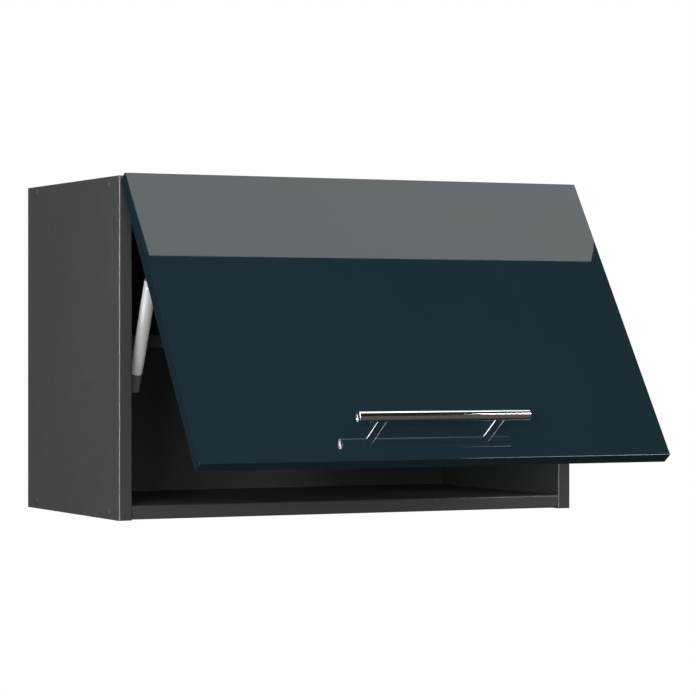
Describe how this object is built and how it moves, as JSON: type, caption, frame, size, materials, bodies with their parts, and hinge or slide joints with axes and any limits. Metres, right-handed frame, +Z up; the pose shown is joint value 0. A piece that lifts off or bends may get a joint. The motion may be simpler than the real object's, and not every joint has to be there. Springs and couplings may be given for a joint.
{
  "type": "lift up wall cabinet",
  "caption": "Wide wall cabinet with a glossy front that lifts up on concealed hinges and gas struts, a bar handle and an inner shelf.",
  "frame": {"origin": "on the wall, midway between the four screw holes of the two wall plates", "axes": "+X along the wall to the right as seen from the room, +Y into the wall, +Z up; the front faces -Y"},
  "size_m": [0.6016, 0.5644, 0.4021],
  "materials": {
    "carcass_board": "graphite melamine, fine matt grain",
    "edge_strip": "graphite edge band, satin",
    "hardboard": "hardboard, plain brown outside and graphite inside",
    "zinc_steel": "bright zinc plate",
    "cap_plastic": "graphite plastic",
    "hanger_plastic": "pale grey moulded plastic",
    "hinge_steel": "nickel plate",
    "bracket_steel": "zinc plate, satin",
    "tube_paint": "pale grey paint, satin",
    "fitting_plastic": "grey moulded plastic",
    "rod_chrome": "polished",
    "door_gloss": "petrol blue high gloss lacquer on board",
    "handle_chrome": "polished chrome",
    "bumper_rubber": "clear soft rubber"
  },
  "bodies": {
    "cabinet": {"side_panel_left": "carcass_board", "side_panel_right": "carcass_board", "top_panel": "carcass_board", "bottom_panel": "carcass_board", "edge_bands": "edge_strip", "back_panel": "hardboard", "back_nails": "zinc_steel", "shelf": "carcass_board", "shelf_edge_band": "edge_strip", "shelf_pins": "zinc_steel", "confirmat_screws": "zinc_steel", "screw_caps": "cap_plastic", "hanger_housing_left": "hanger_plastic", "hanger_housing_right": "hanger_plastic", "hanger_hook_left": "zinc_steel", "hanger_hook_right": "zinc_steel", "hanger_adjusters": "zinc_steel", "hanger_screws": "zinc_steel", "wall_plate_left": "zinc_steel", "wall_plate_right": "zinc_steel", "hinge_plate_left": "hinge_steel", "hinge_plate_right": "hinge_steel", "hinge_plate_screws": "zinc_steel", "hinge_arm_left": "hinge_steel", "hinge_arm_right": "hinge_steel", "hinge_adjusters": "zinc_steel", "hinge_pins": "hinge_steel", "hinge_link_left": "hinge_steel", "hinge_link_right": "hinge_steel", "strut_base_left": "bracket_steel", "strut_base_right": "bracket_steel", "strut_base_studs": "bracket_steel", "strut_base_screws": "zinc_steel"},
    "door": {"door_panel": "door_gloss", "handle_bar": "handle_chrome", "handle_posts": "handle_chrome", "handle_screws": "zinc_steel", "door_bumpers": "bumper_rubber", "hinge_cup_left": "hinge_steel", "hinge_cup_right": "hinge_steel", "hinge_cup_screws": "zinc_steel", "strut_mount_left": "bracket_steel", "strut_mount_right": "bracket_steel", "strut_mount_pins": "bracket_steel", "strut_mount_screws": "zinc_steel"},
    "rod_left": {"strut_rod_left": "rod_chrome", "strut_head_left": "fitting_plastic"},
    "tube_left": {"strut_tube_left": "tube_paint", "strut_collar_left": "fitting_plastic", "strut_foot_left": "fitting_plastic"},
    "rod_right": {"strut_rod_right": "rod_chrome", "strut_head_right": "fitting_plastic"},
    "tube_right": {"strut_tube_right": "tube_paint", "strut_collar_right": "fitting_plastic", "strut_foot_right": "fitting_plastic"}
  },
  "joints": [
    {"name": "door_lift", "type": "hinge", "parent": "cabinet", "child": "door", "pos_m": [0, -0.329, 0.0635], "axis": [-1, 0, 0], "range_deg": [-34.4, 45.6]},
    {"name": "rod_left_swing", "type": "hinge", "parent": "door", "child": "rod_left", "pos_m": [-0.266, -0.35535, -0.0033], "axis": [1, 0, 0], "range_deg": [-38.2, 50.6]},
    {"name": "tube_left_slide", "type": "slide", "parent": "rod_left", "child": "tube_left", "axis": [0, 0.4038, -0.9148], "range_m": [-0.0397, 0.0526]},
    {"name": "rod_right_swing", "type": "hinge", "parent": "door", "child": "rod_right", "pos_m": [0.266, -0.35535, -0.0033], "axis": [1, 0, 0], "range_deg": [-38.2, 50.6]},
    {"name": "tube_right_slide", "type": "slide", "parent": "rod_right", "child": "tube_right", "axis": [0, 0.4038, -0.9148], "range_m": [-0.0397, 0.0526]}
  ],
  "couplings": [
    {"joint": "rod_left_swing", "follows": "door_lift", "ratio": 1.109},
    {"joint": "tube_left_slide", "follows": "door_lift", "m_per_rad": 0.066028},
    {"joint": "rod_right_swing", "follows": "door_lift", "ratio": 1.109},
    {"joint": "tube_right_slide", "follows": "door_lift", "m_per_rad": 0.066028}
  ]
}
